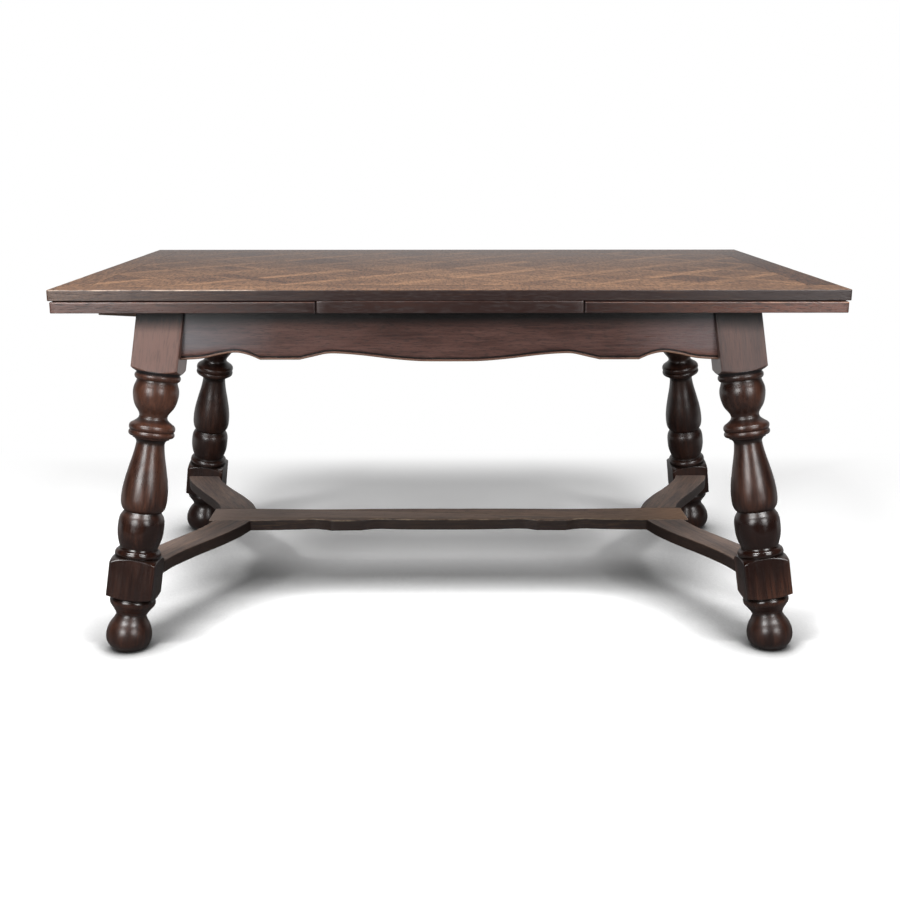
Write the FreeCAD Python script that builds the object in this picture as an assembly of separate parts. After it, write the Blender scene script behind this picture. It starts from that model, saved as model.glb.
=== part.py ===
"""Extending dining table: a loose parquet top over two leaves that draw out on tapered lopers.

Millimetres. Origin on the floor under the middle of the table; X runs along the length,
Y away from the viewer of the front apron, Z up. Each named piece is its own file.
"""
import FreeCAD
import Part
import math
import os

V = FreeCAD.Vector

# Main sizes
table_length = 1600.0
table_depth = 1000.0
table_height = 785.0
top_thickness = 22.0
leaf_thickness = 22.0
board_share = 0.33375

# Clearances
seat_gap = 0.3
slide_gap = 0.8
stack_clearance = 3.0
leaf_lift_off_frame = 0.5
board_side_gap = 1.0
drawn_leaf_gap = 2.0
leaf_end_inset = 4.0
overrun = 40.0

# Legs
leg_stock = 98.0
leg_inset_x = 199.0
leg_inset_y = 164.0
leg_rake = 102.0

# Aprons and end rails
apron_inset = 122.0
rail_inset = 157.0
rail_thickness = 22.0
apron_shoulder = 35.0
rail_shoulder = 18.0
rail_drop = 114.0
bead_height = 6.0
bead_quirk = 2.0
quirk_depth = 1.5
tenon_thickness = 10.0
tenon_haunch = 18.0
tenon_foot = 28.0
apron_tenon_stop = 7.0
rail_tenon_stop = 8.0
tenon_root = 60.0

# Middle guide rail under the centre board
guide_thickness = 24.0
guide_depth = 86.0

# Borders of the leaves and the top
side_border = 85.0
end_border = 65.0
arris = 1.2

# Lopers: the tapered bearers that carry the leaves
loper_thickness = 30.0
loper_setback = 34.0
loper_depth_at_rail = 38.5
tail_end_share = 0.64
left_loper_inset = 76.0
right_loper_inset = 156.0
tail_top_clearance = 1.3
stop_pin_radius = 5.0
stop_pin_reach = 6.0
stop_pin_slack = 2.0

# Flat stretcher
stretcher_top_share = 0.23035
stretcher_thickness = 27.0
stretcher_end_inset = 10.0
stretcher_end_width = 100.0
arm_outer_inset = 113.0
arm_inner_inset = 23.0

# Fixings
dowel_radius = 5.0
dowel_length = 50.0
dowel_gap = 0.2
dowel_end_gap = 1.0
dowel_inset_share = 0.28
screw_radius = 2.5
screw_head_radius = 5.0
screw_head_height = 3.0
screw_gap = 0.3
board_screw_length = 46.0
board_screw_sink = 1.0
board_screw_shares = (-1, -0.35, 0.35, 1)
loper_screw_length = 36.0
loper_screw_shares = (0.2, 0.5, 0.8)
loper_screw_seat = 20.0
draw_peg_radius = 4.0
draw_peg_inset = 74.0
draw_peg_y = 38.0
guide_peg_radius = 12.5
guide_peg_inset = 220.0
guide_peg_clearance = 1.2
guide_hole_floor = 3.0
guide_socket_roof = 5.0
guide_peg_headroom = 1.2

# Sizes that follow from the ones above
half_length = table_length / 2
half_depth = table_depth / 2
half_stock = leg_stock / 2
board_half = half_length * board_share
frame_top = table_height - top_thickness - leaf_thickness - stack_clearance
top_under = table_height - top_thickness
board_top = top_under - seat_gap
board_under = frame_top + seat_gap
leaf_under = frame_top + leaf_lift_off_frame
leaf_top = leaf_under + leaf_thickness
leaf_inner = board_half + board_side_gap
leaf_outer = half_length - leaf_end_inset
draw_travel_x = half_length + drawn_leaf_gap - leaf_inner
draw_rise = table_height - leaf_top
draw_slope = draw_rise / draw_travel_x
leg_top_x = half_length - leg_inset_x
leg_top_y = half_depth - leg_inset_y
apron_face_y = half_depth - apron_inset
apron_mid_y = apron_face_y - rail_thickness / 2
apron_inner_y = apron_face_y - rail_thickness
apron_half = leg_top_x - apron_shoulder
rail_face_x = half_length - rail_inset
rail_mid_x = rail_face_x - rail_thickness / 2
rail_inner_x = rail_face_x - rail_thickness
rail_half = leg_top_y - rail_shoulder
rail_bottom = frame_top - rail_drop
tenon_top = frame_top - tenon_haunch
tenon_bottom = rail_bottom + tenon_foot
apron_tenon_end = leg_top_x - apron_tenon_stop
rail_tenon_end = leg_top_y - rail_tenon_stop
loper_top = leaf_under - seat_gap
loper_outer_end = leaf_outer - loper_setback
loper_tail_end = draw_travel_x + tail_end_share * (rail_inner_x - draw_travel_x)
left_loper_y = leg_top_y - left_loper_inset
right_loper_y = leg_top_y - right_loper_inset
stop_pin_x = draw_travel_x + guide_thickness / 2 + stop_pin_radius + stop_pin_slack
tail_top_datum_z = board_under - tail_top_clearance
stretcher_top = frame_top * stretcher_top_share
stretcher_half = leg_top_x - stretcher_end_inset
arm_outer_x = leg_top_x - arm_outer_inset
arm_inner_x = leg_top_x - arm_inner_inset
draw_peg_x = leg_top_x - draw_peg_inset
guide_peg_y = half_depth - guide_peg_inset
stretcher_under = stretcher_top - stretcher_thickness
stretcher_mid_z = stretcher_top - stretcher_thickness / 2
stretcher_end_y = stretcher_end_width / 2
sides = (-1, 1)
quarter_turn = 90.0
full_turn = 360.0

# Turned profile of a leg, foot to block: (radius over half the stock, height over frame_top)
ball_foot_shares = (
    (0.367, -0.0163), (0.653, 0.0), (0.847, 0.0108), (0.959, 0.0244), (0.996, 0.0407),
    (0.963, 0.0583), (0.867, 0.0745), (0.741, 0.0881), (0.669, 0.0976), (0.649, 0.1043))
foot_fillet_shares = ((0.649, 0.1043), (0.694, 0.1057), (0.704, 0.1111), (0.745, 0.1125))
foot_cove_shares = ((0.745, 0.1125), (0.816, 0.1192), (0.918, 0.128))
foot_ring_shares = ((0.918, 0.128), (0.996, 0.1396), (0.939, 0.1511))
lower_block_under_shares = ((0.939, 0.1511), (0.98, 0.1531), (1.469, 0.1633))
lower_block_side_shares = ((1.469, 0.1633), (1.469, 0.2534))
lower_block_shoulder_shares = ((1.469, 0.2534), (1.286, 0.2649), (0.959, 0.2717))
block_ring_shares = ((0.959, 0.2717), (0.996, 0.2825), (0.898, 0.2934))
block_ring_fillet_shares = ((0.898, 0.2934), (0.837, 0.294), (0.816, 0.2995))
low_ball_shares = (
    (0.816, 0.2995), (0.861, 0.3076), (0.91, 0.3171), (0.965, 0.332), (0.992, 0.3469),
    (0.996, 0.3604), (0.988, 0.3753), (0.939, 0.3889), (0.867, 0.397), (0.816, 0.4024))
low_ball_crease_shares = ((0.816, 0.4024), (0.804, 0.4038))
vase_shares = (
    (0.804, 0.4038), (0.902, 0.4119), (0.965, 0.4228), (0.994, 0.4363), (0.996, 0.4499),
    (0.984, 0.4648), (0.953, 0.4824), (0.91, 0.5), (0.853, 0.5176), (0.792, 0.5366),
    (0.727, 0.5542), (0.671, 0.5718), (0.631, 0.5881), (0.608, 0.6016))
vase_cove_shares = ((0.608, 0.6016), (0.633, 0.6084), (0.724, 0.6145))
vase_fillet_shares = ((0.724, 0.6145), (0.786, 0.6159), (0.806, 0.6199), (0.878, 0.6206))
under_ring_shares = ((0.878, 0.6206), (0.994, 0.6294), (0.935, 0.6375))
upper_ring_shares = ((0.935, 0.6375), (0.996, 0.6477), (0.918, 0.6572))
neck_cove_shares = ((0.918, 0.6572), (0.765, 0.664), (0.643, 0.6714), (0.602, 0.6789))
bell_shares = (
    (0.602, 0.6789), (0.637, 0.687), (0.731, 0.6965), (0.82, 0.7046), (0.89, 0.7141),
    (0.945, 0.7263), (0.98, 0.7398), (0.986, 0.7507), (0.963, 0.7615), (0.914, 0.771),
    (0.878, 0.7778))
bell_fillet_shares = ((0.878, 0.7778), (0.878, 0.7818), (0.908, 0.7825))
top_ring_shares = ((0.908, 0.7825), (0.99, 0.792), (0.918, 0.8015))
upper_block_under_shares = ((0.918, 0.8015), (0.99, 0.8049), (1.469, 0.8184))
upper_block_side_shares = ((1.469, 0.8184), (1.469, 1.06))
leg_turning = (
    ("curve", ball_foot_shares),
    ("steps", foot_fillet_shares),
    ("curve", foot_cove_shares),
    ("round", foot_ring_shares),
    ("steps", lower_block_under_shares),
    ("steps", lower_block_side_shares),
    ("round", lower_block_shoulder_shares),
    ("round", block_ring_shares),
    ("steps", block_ring_fillet_shares),
    ("curve", low_ball_shares),
    ("steps", low_ball_crease_shares),
    ("curve", vase_shares),
    ("curve", vase_cove_shares),
    ("steps", vase_fillet_shares),
    ("round", under_ring_shares),
    ("round", upper_ring_shares),
    ("curve", neck_cove_shares),
    ("curve", bell_shares),
    ("steps", bell_fillet_shares),
    ("round", top_ring_shares),
    ("steps", upper_block_under_shares),
    ("steps", upper_block_side_shares))

# Lower edge of an apron, right half: (distance over its half length, height over rail_drop)
belly_shares = (
    (0.0, -0.035), (0.117, -0.028), (0.221, 0.016), (0.325, 0.079), (0.405, 0.112),
    (0.458, 0.112), (0.511, 0.055), (0.56, 0.0))
flat_shares = ((0.56, 0.0), (0.707, 0.0))
end_crest_shares = (
    (0.707, 0.0), (0.749, 0.088), (0.795, 0.134), (0.855, 0.096), (0.92, 0.026),
    (1.0, 0.0), (1.12, -0.006))

# Half of a long edge of the stretcher's middle board: (x over its half length, y over end width)
front_belly_shares = (
    (0.0, 0.47), (0.12, 0.46), (0.205, 0.44), (0.28, 0.40), (0.325, 0.42), (0.367, 0.52))
front_flat_shares = ((0.367, 0.52), (0.486, 0.54))
front_crest_shares = (
    (0.486, 0.54), (0.53, 0.44), (0.565, 0.40), (0.62, 0.43), (0.71, 0.47), (0.826, 0.5))
back_edge_shares = (
    (0.0, 0.47), (0.15, 0.475), (0.3, 0.465), (0.5, 0.43), (0.64, 0.45), (0.826, 0.5))

# Edges of an arm: (x beyond the middle board's end over leg_stock, y over leg_top_y)
arm_outer_shares = (
    (-1.049, 0.15), (-0.911, 0.274), (-0.736, 0.387), (-0.513, 0.512), (-0.145, 0.69),
    (0.145, 0.845), (0.338, 0.967), (0.543, 1.16))
arm_inner_shares = (
    (-0.133, 0.15), (-0.03, 0.25), (0.103, 0.342), (0.277, 0.44), (0.47, 0.539), (0.736, 0.679),
    (0.989, 0.821), (1.206, 0.958), (1.399, 1.16))


def box(x0, x1, y0, y1, z0, z1):
    """A box between two corners."""
    return Part.makeBox(x1 - x0, y1 - y0, z1 - z0, V(x0, y0, z0))


def rod(start, direction, radius, length):
    """A round bar from a start point."""
    return Part.makeCylinder(radius, length, start, direction)


def polygon(points):
    """A flat face inside straight lines through the points."""
    return Part.Face(Part.makePolygon(list(points) + [points[0]]))


def spline(points):
    """A smooth edge through the points."""
    curve = Part.BSplineCurve()
    curve.interpolate(list(points))
    return curve.toShape()


def widest(shape):
    """The largest solid that a cut leaves."""
    return max(shape.Solids, key=lambda solid: solid.Volume)


def eased_box(x0, x1, y0, y1, z0, z1):
    """A board with its upper arrises eased."""
    board = box(x0, x1, y0, y1, z0, z1)
    upper = [edge for edge in board.Edges if min(v.Z for v in edge.Vertexes) > z1 - arris]
    return board.makeChamfer(arris, upper)


def save(name, shapes):
    """Writes one named piece, or several like pieces under one name."""
    solids = shapes if isinstance(shapes, list) else [shapes]
    shape = solids[0] if len(solids) == 1 else Part.makeCompound(solids)
    shape.exportStep(os.path.join("parts", name + ".step"))


# Legs

def leg_placement(side_x, side_y):
    """Where a leg's own axis stands: foot on the floor, leaning in to the frame."""
    foot = V(side_x * (leg_top_x + leg_rake), side_y * (leg_top_y + leg_rake), 0)
    lean = V(-side_x * leg_rake, -side_y * leg_rake, frame_top)
    return FreeCAD.Placement(foot, FreeCAD.Rotation(V(0, 0, 1), lean)), lean.Length


def turned_leg():
    """The leg along its own axis, before it is leaned and trimmed."""
    stretch = leg_placement(1, 1)[1]
    edges = []
    points = []
    for kind, shares in leg_turning:
        points = [V(r * half_stock, 0, z * stretch) for r, z in shares]
        if kind == "curve":
            edges.append(spline(points))
        elif kind == "round":
            edges.append(Part.Arc(*points).toShape())
        else:
            edges.extend(Part.LineSegment(a, b).toShape() for a, b in zip(points, points[1:]))
    low = edges[0].Vertexes[0].Point
    high = points[-1]
    edges.insert(0, Part.LineSegment(V(0, 0, low.z), low).toShape())
    edges.append(Part.LineSegment(high, V(0, 0, high.z)).toShape())
    edges.append(Part.LineSegment(V(0, 0, high.z), V(0, 0, low.z)).toShape())
    spun = Part.Face(Part.Wire(edges)).revolve(V(0, 0, 0), V(0, 0, 1), full_turn)
    return spun.common(leg_prism(0))


def leg_prism(gap):
    """The leg's square stock, larger all round by the gap."""
    reach = half_stock + gap
    length = frame_top + overrun + overrun
    return box(-reach, reach, -reach, reach, -overrun, length)


def placed_prism(side_x, side_y, gap):
    """The square stock of one leg where it stands."""
    prism = leg_prism(gap)
    prism.Placement = leg_placement(side_x, side_y)[0]
    return prism


def trimmed_leg(shape, side_x, side_y):
    """Leans the turned leg and trims it level with the floor and the frame's top."""
    leg = shape.copy()
    leg.Placement = leg_placement(side_x, side_y)[0]
    return leg.common(box(-table_length, table_length, -table_length, table_length, 0, frame_top))


# Aprons, end rails and the guide rail

def half_edges(shares, length, level, height, side):
    """Edge of one part of the serpentine outline, on one side of the middle."""
    points = [V(side * x * length, 0, level + z * height) for x, z in shares]
    if len(points) == 2:
        return Part.LineSegment(points[0], points[1]).toShape()
    return spline(points)


def serpentine(length, level):
    """The whole serpentine lower edge, from the left end to the right."""
    parts = (end_crest_shares, flat_shares, belly_shares)
    left = [half_edges(p, length, level, rail_drop, -1) for p in parts]
    right = [half_edges(p, length, level, rail_drop, 1) for p in reversed(parts)]
    return left + right


def shaped_face(length, low_level, high_level, high_is_flat):
    """A face between the serpentine edge and a level or like edge above it."""
    end_x = end_crest_shares[-1][0] * length
    dip = end_crest_shares[-1][1] * rail_drop
    high_dip = 0 if high_is_flat else dip
    low = serpentine(length, low_level)
    corners = [V(side * end_x, 0, low_level + dip) for side in sides]
    upper = [V(side * end_x, 0, high_level + high_dip) for side in sides]
    if high_is_flat:
        high = [Part.LineSegment(upper[0], upper[1]).toShape()]
    else:
        high = serpentine(length, high_level)
    ends = [Part.LineSegment(a, b).toShape() for a, b in zip(corners, upper)]
    return Part.Face(Part.Wire(Part.__sortEdges__(low + high + ends)))


def shaped_board(length):
    """A board with the serpentine edge and its bead, standing on Y = 0 and facing -Y."""
    board = shaped_face(length, rail_bottom, frame_top, True).extrude(V(0, rail_thickness, 0))
    low = rail_bottom + bead_height
    quirk = shaped_face(length, low, low + bead_quirk, False)
    return board.cut(quirk.extrude(V(0, quirk_depth, 0)))


def fitted_between_legs(board, legs):
    """Cuts a board back to the faces of the legs it runs between."""
    for side_x, side_y in legs:
        board = board.cut(placed_prism(side_x, side_y, seat_gap))
    return widest(board)


def apron_tenon(side_x, side_y, gap):
    """Tenon of an apron in a leg, larger by a gap for the mortise."""
    half = tenon_thickness / 2 + gap
    near = side_x * (apron_tenon_end - tenon_root)
    far = side_x * (apron_tenon_end + gap)
    y = side_y * apron_mid_y
    return box(min(near, far), max(near, far), y - half, y + half, tenon_bottom - gap, tenon_top + gap)


def rail_tenon(side_x, side_y, gap):
    """Tenon of an end rail in a leg, larger by a gap for the mortise."""
    half = tenon_thickness / 2 + gap
    near = side_y * (rail_tenon_end - tenon_root)
    far = side_y * (rail_tenon_end + gap)
    x = side_x * rail_mid_x
    return box(x - half, x + half, min(near, far), max(near, far), tenon_bottom - gap, tenon_top + gap)


def board_screw_places():
    """Where the centre board is screwed down into the aprons."""
    reach = board_half * (1 - dowel_inset_share)
    return [(share * reach, side * apron_mid_y) for side in sides for share in board_screw_shares]


def apron(side_y):
    """Front or back apron with its bead facing out, tenoned into two legs."""
    board = shaped_board(apron_half)
    board.translate(V(0, -apron_face_y, 0))
    if side_y > 0:
        board = board.mirror(V(0, 0, 0), V(0, 1, 0))
    board = fitted_between_legs(board, [(s, side_y) for s in sides])
    for side_x in sides:
        board = board.fuse(apron_tenon(side_x, side_y, 0))
    for x, y in board_screw_places():
        board = board.cut(board_screw_hole(x, y))
    for x, y, z in guide_dowel_places():
        board = board.cut(guide_dowel(y, z, dowel_gap))
    return board.removeSplitter()


def end_rail(side_x):
    """End rail with open notches for the pair of lopers that run out over it."""
    board = shaped_board(rail_half)
    board.rotate(V(0, 0, 0), V(0, 0, 1), side_x * quarter_turn)
    board.translate(V(side_x * rail_face_x, 0, 0))
    board = fitted_between_legs(board, [(side_x, s) for s in sides])
    for side_y in sides:
        board = board.fuse(rail_tenon(side_x, side_y, 0))
        board = board.cut(loper_passage(side_x, side_y, rail_mid_x, seat_gap, True))
    return board.removeSplitter()


def guide_dowel_places():
    """Dowels between the guide rail's ends and the aprons."""
    levels = [frame_top - guide_depth * share for share in (dowel_inset_share, 1 - dowel_inset_share)]
    return [(0, side * apron_mid_y, z) for side in sides for z in levels]


def guide_dowel(y, z, gap):
    """One dowel of the guide rail, or its hole when given a gap."""
    side = math.copysign(1, y)
    start = V(0, y + side * (dowel_radius + gap), z)
    length = rail_thickness + dowel_radius + gap + gap
    return rod(start, V(0, -side, 0), dowel_radius + gap, length)


def guide_rail():
    """Cross rail in the middle of the frame whose mortises steer all four lopers."""
    end_y = apron_inner_y - seat_gap
    half = guide_thickness / 2
    rail = box(-half, half, -end_y, end_y, frame_top - guide_depth, frame_top)
    for side_x in sides:
        for side_y in sides:
            rail = rail.cut(loper_passage(side_x, side_y, 0, slide_gap, False))
    for x, y, z in guide_dowel_places():
        rail = rail.cut(guide_dowel(y, z, dowel_gap))
    return rail


# Lopers and leaves

def loper_y(side_x):
    """Distance of a leaf's pair of lopers from the middle line."""
    return left_loper_y if side_x < 0 else right_loper_y


def loper_under(out):
    """Height of a loper's underside at a distance out from the middle."""
    return frame_top - loper_depth_at_rail + draw_slope * (out - rail_inner_x)


def tail_top(out):
    """Height of the top of a loper's tail at a distance out from the middle."""
    return tail_top_datum_z + draw_slope * (out - leaf_inner)


def loper_passage(side_x, side_y, at, gap, is_open):
    """The space a loper slides through in a rail that stands a distance out from the middle."""
    reach = rail_thickness
    outs = (at - reach, at + reach)
    low = [V(side_x * out, 0, loper_under(out) - gap) for out in outs]
    if is_open:
        high = [V(side_x * out, 0, frame_top + overrun) for out in reversed(outs)]
    else:
        high = [V(side_x * out, 0, tail_top(out) + gap) for out in reversed(outs)]
    width = loper_thickness + slide_gap + slide_gap
    passage = polygon(low + high).extrude(V(0, width, 0))
    passage.translate(V(0, side_y * loper_y(side_x) - width / 2, 0))
    return passage


def stop_pin(side_x, side_y, gap):
    """Cross pin in a loper's tail that stops against the guide rail."""
    out = -stop_pin_x
    z = (loper_under(out) + tail_top(out)) / 2
    half = loper_thickness / 2 + stop_pin_reach
    start = V(side_x * out, side_y * loper_y(side_x) - half, z)
    return rod(start, V(0, 1, 0), stop_pin_radius + gap, half + half)


def loper_screw_places(side_x):
    """Where the lopers are screwed up into their leaf."""
    reach = leaf_outer - leaf_inner
    outs = [leaf_outer - reach * share for share in loper_screw_shares]
    return [(side_x * out, side * loper_y(side_x)) for side in sides for out in outs]


def upward_screw(x, y, gap):
    """A screw driven up through a loper into the leaf."""
    seat = leaf_under - loper_screw_seat
    shank = rod(V(x, y, seat), V(0, 0, 1), screw_radius + gap, loper_screw_length + gap)
    head = rod(V(x, y, seat - screw_head_height), V(0, 0, 1), screw_head_radius + gap, screw_head_height)
    return shank.fuse(head)


def upward_screw_hole(x, y):
    """Clearance for an upward screw and the deep counterbore below its head."""
    seat = leaf_under - loper_screw_seat
    bore = rod(V(x, y, seat - loper_thickness), V(0, 0, 1), screw_head_radius + screw_gap, loper_thickness)
    return upward_screw(x, y, screw_gap).fuse(bore)


def loper(side_x, side_y):
    """One tapered bearer: level under the leaf, its tail running back on the draw slope."""
    kink = leaf_inner + (loper_top - tail_top_datum_z) / draw_slope
    tail = -loper_tail_end
    outline = [
        V(side_x * loper_outer_end, 0, loper_top),
        V(side_x * loper_outer_end, 0, loper_under(loper_outer_end)),
        V(side_x * tail, 0, loper_under(tail)),
        V(side_x * tail, 0, tail_top(tail)),
        V(side_x * kink, 0, loper_top)]
    bar = polygon(outline).extrude(V(0, loper_thickness, 0))
    bar.translate(V(0, side_y * loper_y(side_x) - loper_thickness / 2, 0))
    bar = bar.cut(stop_pin(side_x, side_y, dowel_gap))
    for x, y in loper_screw_places(side_x):
        bar = bar.cut(upward_screw_hole(x, y))
    return bar


def leaf_pieces(side_x):
    """Panel, two long side borders and two end borders of a leaf."""
    inner = side_x * leaf_inner
    outer = side_x * leaf_outer
    low, high = min(inner, outer), max(inner, outer)
    inside = half_depth - side_border
    sign = "left" if side_x < 0 else "right"
    pieces = {}
    for side_y, word in ((-1, "front"), (1, "back")):
        ys = sorted((side_y * half_depth, side_y * (inside + seat_gap)))
        pieces["leaf_%s_border_%s" % (sign, word)] = eased_box(low, high, ys[0], ys[1], leaf_under, leaf_top)
    for start, turn, word in ((outer, -side_x, "outer"), (inner, side_x, "inner")):
        xs = sorted((start, start + turn * end_border))
        pieces["leaf_%s_border_%s" % (sign, word)] = eased_box(
            xs[0], xs[1], -inside, inside, leaf_under, leaf_top)
    inset = end_border + seat_gap
    panel = eased_box(low + inset, high - inset, -inside, inside, leaf_under, leaf_top)
    for x, y in loper_screw_places(side_x):
        panel = panel.cut(upward_screw(x, y, screw_gap))
    pieces["leaf_%s_panel" % sign] = panel
    return pieces


# Centre board, guide pegs and the loose top

def board_screw(x, y, gap):
    """A screw down through the centre board into an apron."""
    seat = board_top - board_screw_sink - screw_head_height
    shank = rod(V(x, y, seat + gap), V(0, 0, -1), screw_radius + gap, board_screw_length + gap + gap)
    head = rod(V(x, y, seat), V(0, 0, 1), screw_head_radius + gap, screw_head_height)
    return shank.fuse(head)


def board_screw_hole(x, y):
    """Clearance for a centre board screw, open above its head."""
    head = rod(V(x, y, board_top - overrun), V(0, 0, 1), screw_radius + screw_gap, overrun)
    mouth = board_top - board_screw_sink - screw_head_height - screw_gap
    wide = rod(V(x, y, mouth), V(0, 0, 1), screw_head_radius + screw_gap, overrun)
    return head.fuse(wide).fuse(board_screw(x, y, screw_gap))


def guide_peg_hole(side_y):
    """Blind hole in the centre board for a guide peg."""
    floor = board_under + guide_hole_floor
    return rod(V(0, side_y * guide_peg_y, floor), V(0, 0, 1), guide_peg_radius + guide_peg_clearance, overrun)


def guide_peg_socket(side_y):
    """Blind socket in the underside of the top for a guide peg."""
    roof = table_height - guide_socket_roof
    start = V(0, side_y * guide_peg_y, roof)
    return rod(start, V(0, 0, -1), guide_peg_radius + guide_peg_clearance, overrun)


def guide_peg(side_y):
    """Loose turned peg that keeps the top over the centre board."""
    low = board_under + guide_hole_floor + seat_gap
    high = table_height - guide_socket_roof - guide_peg_headroom
    peg = rod(V(0, side_y * guide_peg_y, low), V(0, 0, 1), guide_peg_radius, high - low)
    rims = [edge for edge in peg.Edges if edge.Closed]
    return peg.makeChamfer(arris, rims)


def centre_board():
    """Fixed board between the leaves, screwed to the aprons."""
    board = eased_box(-board_half, board_half, -half_depth, half_depth, board_under, board_top)
    for side_y in sides:
        board = board.cut(guide_peg_hole(side_y))
    for x, y in board_screw_places():
        board = board.cut(board_screw_hole(x, y))
    return board


def top_pieces():
    """Parquet panel of the top and the four plain borders round it."""
    inside_x = half_length - end_border
    inside_y = half_depth - side_border
    low, high = top_under, table_height
    pieces = {}
    for side_y, word in ((-1, "front"), (1, "back")):
        ys = sorted((side_y * half_depth, side_y * (inside_y + seat_gap)))
        pieces["top_border_" + word] = eased_box(-half_length, half_length, ys[0], ys[1], low, high)
    for side_x, word in ((-1, "left"), (1, "right")):
        xs = sorted((side_x * half_length, side_x * (inside_x + seat_gap)))
        pieces["top_border_" + word] = eased_box(xs[0], xs[1], -inside_y, inside_y, low, high)
    panel = box(-inside_x, inside_x, -inside_y, inside_y, low, high)
    for side_y in sides:
        panel = panel.cut(guide_peg_socket(side_y))
    pieces["top_parquet_panel"] = panel
    return pieces


# Stretcher

def edge_points(shares, side_x, side_y):
    """Points of a long edge of the stretcher's middle board."""
    return [V(side_x * x * stretcher_half, side_y * y * stretcher_end_width, 0) for x, y in shares]


def edge_piece(points):
    """A straight or smooth edge through the points."""
    if len(points) == 2:
        return Part.LineSegment(points[0], points[1]).toShape()
    return spline(points)


def stretcher_centre():
    """Long middle board, serpentine on its front edge and gently waisted on its back edge."""
    edges = []
    for side_x in sides:
        for shares in (front_belly_shares, front_flat_shares, front_crest_shares):
            edges.append(edge_piece(edge_points(shares, side_x, -1)))
        edges.append(edge_piece(edge_points(back_edge_shares, side_x, 1)))
        end = side_x * stretcher_half
        junction = side_x * front_crest_shares[-1][0] * stretcher_half
        corners = [
            V(junction, -stretcher_end_y, 0),
            V(end, -stretcher_end_y, 0),
            V(end, stretcher_end_y, 0),
            V(junction, stretcher_end_y, 0)]
        edges.extend(Part.LineSegment(a, b).toShape() for a, b in zip(corners, corners[1:]))
    board = Part.Face(Part.Wire(Part.__sortEdges__(edges))).extrude(V(0, 0, stretcher_thickness))
    board.translate(V(0, 0, stretcher_under))
    for side_x in sides:
        for side_y in sides:
            board = board.cut(draw_peg(side_x, side_y, dowel_gap))
            for x in arm_root_dowels(side_x):
                board = board.cut(root_dowel(x, side_y, dowel_gap, dowel_end_gap))
    return board


def arm_root_dowels(side_x):
    """X of the two dowels where an arm meets the middle board."""
    width = arm_inner_x - arm_outer_x
    return [side_x * (arm_outer_x + width * share) for share in (dowel_inset_share, 1 - dowel_inset_share)]


def root_dowel(x, side_y, gap, end_gap):
    """Dowel between the middle board and an arm, or its hole."""
    half = dowel_length / 2 + end_gap
    start = V(x, side_y * stretcher_end_y - half, stretcher_mid_z)
    return rod(start, V(0, 1, 0), dowel_radius + gap, half + half)


def arm_leg_dowels(side_x):
    """X of the two dowels where an arm meets its leg."""
    middle = leg_top_x + leg_rake * (1 - stretcher_mid_z / frame_top)
    spread = leg_stock * dowel_inset_share
    return [side_x * (middle - spread), side_x * (middle + spread / 2)]


def leg_face_y():
    """Distance of a leg's inward face from the middle line at the stretcher."""
    return leg_top_y + leg_rake * (1 - stretcher_mid_z / frame_top) - half_stock


def leg_dowel(x, side_y, gap, end_gap):
    """Dowel between an arm and its leg, or its hole."""
    half = dowel_length / 2 + end_gap
    start = V(x, side_y * leg_face_y() - half, stretcher_mid_z)
    return rod(start, V(0, 1, 0), dowel_radius + gap, half + half)


def draw_peg(side_x, side_y, gap):
    """Small round peg let into the top of the middle board beside an arm."""
    top = V(side_x * draw_peg_x, side_y * draw_peg_y, stretcher_top)
    return rod(top, V(0, 0, -1), draw_peg_radius + gap, stretcher_thickness / 2)


def arm_edge_points(shares, side_x, side_y):
    """Points of a long edge of an arm."""
    return [V(side_x * (stretcher_half + x * leg_stock), side_y * y * leg_top_y, 0) for x, y in shares]


def stretcher_arm(side_x, side_y):
    """Ogee arm from the middle board to the block of a leg."""
    root = stretcher_end_y + seat_gap
    outer = arm_edge_points(arm_outer_shares, side_x, side_y)
    inner = arm_edge_points(arm_inner_shares, side_x, side_y)
    outer[0] = V(side_x * arm_outer_x, side_y * root, 0)
    inner[0] = V(side_x * arm_inner_x, side_y * root, 0)
    edges = [spline(outer), spline(inner)]
    edges.append(Part.LineSegment(outer[0], inner[0]).toShape())
    edges.append(Part.LineSegment(outer[-1], inner[-1]).toShape())
    arm = Part.Face(Part.Wire(Part.__sortEdges__(edges))).extrude(V(0, 0, stretcher_thickness))
    arm.translate(V(0, 0, stretcher_under))
    arm = arm.cut(placed_prism(side_x, side_y, seat_gap))
    arm = min(arm.Solids, key=lambda solid: abs(solid.CenterOfMass.y))
    for x in arm_root_dowels(side_x):
        arm = arm.cut(root_dowel(x, side_y, dowel_gap, dowel_end_gap))
    for x in arm_leg_dowels(side_x):
        arm = arm.cut(leg_dowel(x, side_y, dowel_gap, dowel_end_gap))
    return arm


def leg(shape, side_x, side_y):
    """One finished leg with its mortises and dowel holes."""
    piece = trimmed_leg(shape, side_x, side_y)
    piece = piece.cut(apron_tenon(side_x, side_y, seat_gap))
    piece = piece.cut(rail_tenon(side_x, side_y, seat_gap))
    for x in arm_leg_dowels(side_x):
        piece = piece.cut(leg_dowel(x, side_y, dowel_gap, dowel_end_gap))
    return widest(piece)


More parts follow.
